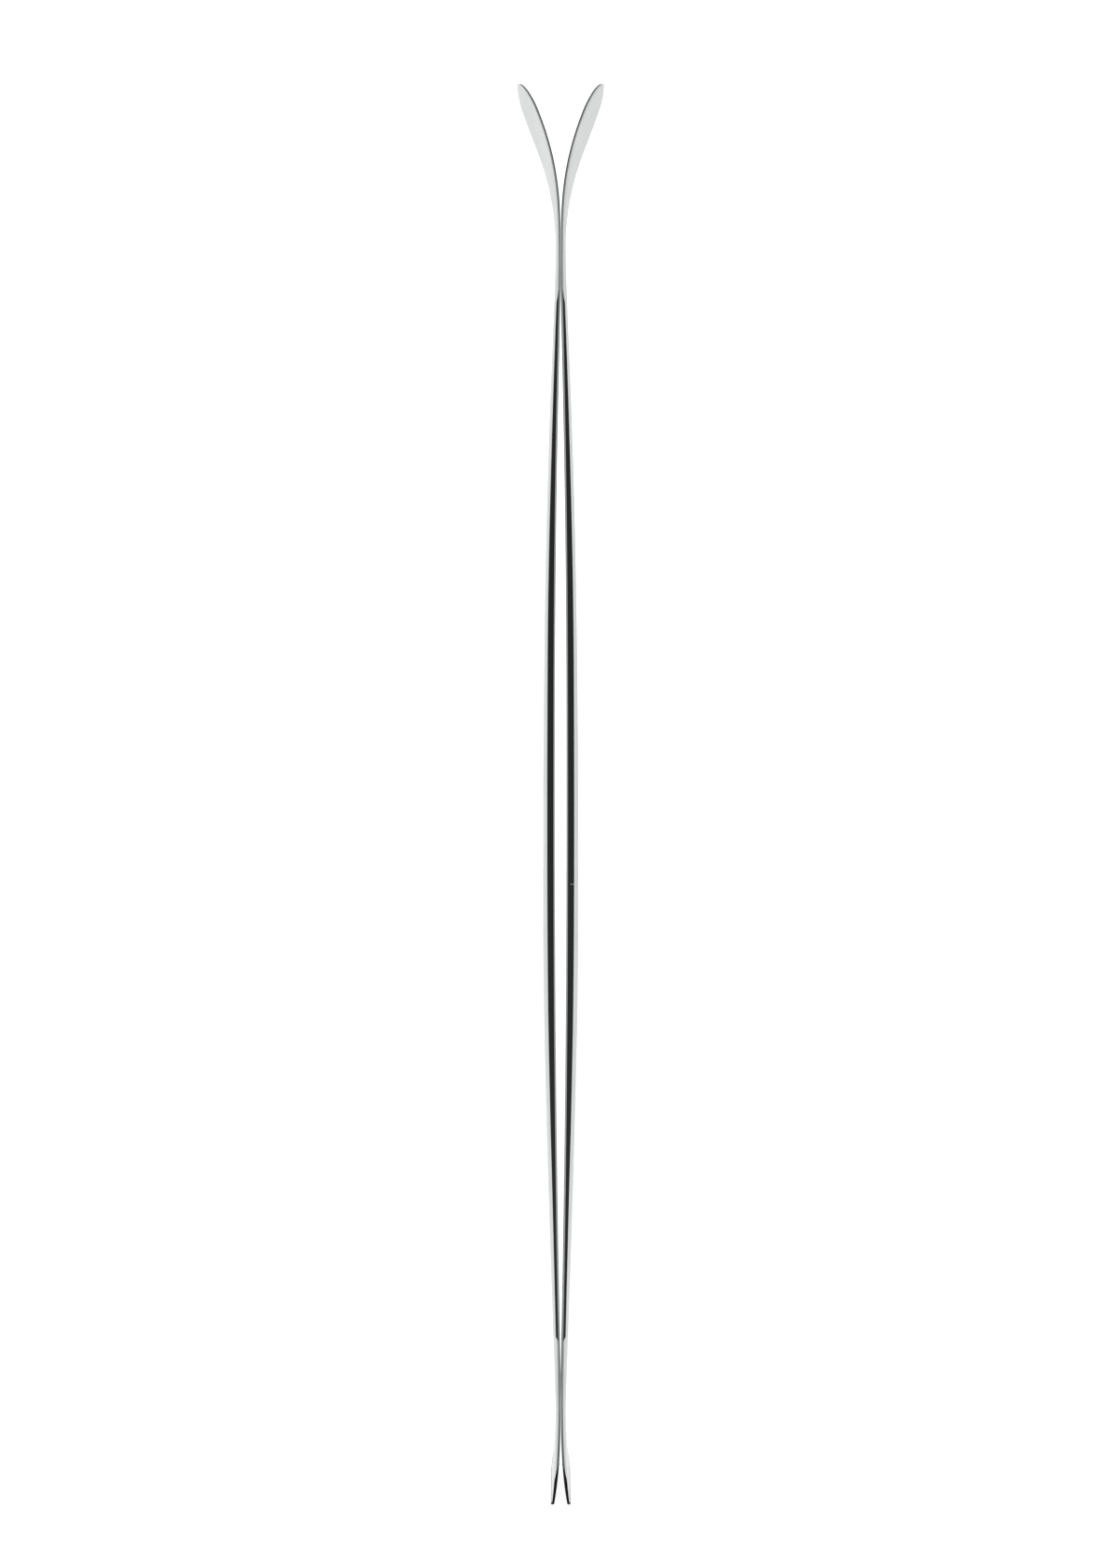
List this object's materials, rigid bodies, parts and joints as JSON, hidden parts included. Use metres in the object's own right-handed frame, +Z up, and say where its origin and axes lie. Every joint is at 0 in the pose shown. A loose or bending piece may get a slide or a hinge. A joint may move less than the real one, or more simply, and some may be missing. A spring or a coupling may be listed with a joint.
{
  "type": "cross country ski pair",
  "caption": "Two long narrow cambered skis held upright base to base, with white bevelled caps, black side walls and upturned tips.",
  "frame": {"origin": "midway between the tail ends of the two skis, at the bottom of the pair", "axes": "+Z up from the tails to the tips; +X from the left ski to the right ski, square to the running faces; +Y across the width of the skis"},
  "size_m": [0.1236, 0.072, 2],
  "materials": {
    "running_base": "satin",
    "glass_sheet": "satin",
    "core_wood": "matte",
    "sidewall": "satin",
    "spacer": "satin",
    "insert_plate": "satin",
    "cap_white": "satin",
    "protector": "satin",
    "mark": "matte"
  },
  "bodies": {
    "left_ski": {"left_base_sole": "running_base", "left_lower_laminate": "glass_sheet", "left_wood_core": "core_wood", "left_marked_sidewall": "sidewall", "left_plain_sidewall": "sidewall", "left_tip_filler": "spacer", "left_tail_filler": "spacer", "left_binding_insert": "insert_plate", "left_upper_laminate": "glass_sheet", "left_topsheet_cap": "cap_white", "left_tip_protector": "protector", "left_tail_protector": "protector", "left_balance_mark": "mark"},
    "right_ski": {"right_base_sole": "running_base", "right_lower_laminate": "glass_sheet", "right_wood_core": "core_wood", "right_marked_sidewall": "sidewall", "right_plain_sidewall": "sidewall", "right_tip_filler": "spacer", "right_tail_filler": "spacer", "right_binding_insert": "insert_plate", "right_upper_laminate": "glass_sheet", "right_topsheet_cap": "cap_white", "right_tip_protector": "protector", "right_tail_protector": "protector", "right_balance_mark": "mark"}
  },
  "joints": [
    {"name": "skis_apart", "type": "slide", "parent": "left_ski", "child": "right_ski", "axis": [1, 0, 0], "range_m": [0, 0.2]}
  ]
}
